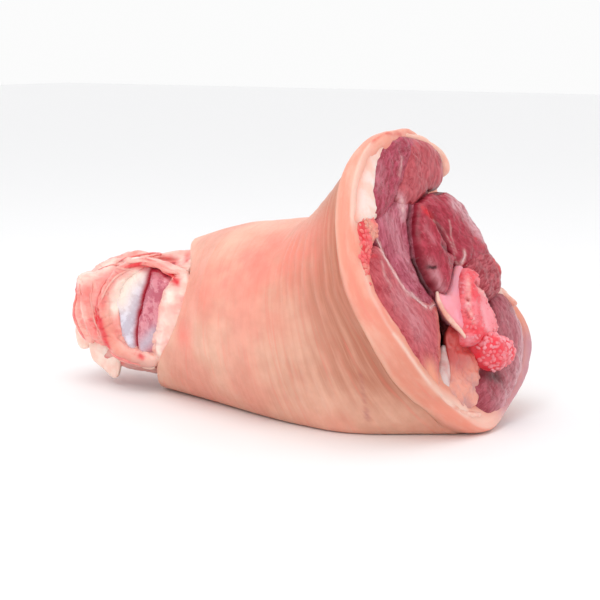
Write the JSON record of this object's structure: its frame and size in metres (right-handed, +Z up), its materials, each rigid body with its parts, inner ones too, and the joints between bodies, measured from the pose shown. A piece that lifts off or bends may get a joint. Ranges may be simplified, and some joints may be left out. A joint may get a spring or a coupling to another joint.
{
  "type": "raw pork shank",
  "caption": "Raw pork shank lying on its side: a rind sleeve that flares to a cut end with muscles and a bone head, and a skinned knuckle that shows the hock joint.",
  "frame": {"origin": "on the surface that the shank rests on, under the thick part of its sleeve, about below its centre of mass", "axes": "+X along the leg from the knuckle to the cut end, +Y to the side that faces away in the picture, +Z up"},
  "size_m": [0.2473, 0.1345, 0.1327],
  "materials": {
    "meat": "satin",
    "rind": "satin",
    "muscle": "glossy",
    "fat": "glossy",
    "sinew": "glossy",
    "bone": "glossy",
    "cartilage": "glossy"
  },
  "bodies": {
    "root": {"meat": "meat", "shin_bone": "bone", "ankle_bone": "cartilage"}
  },
  "joints": []
}
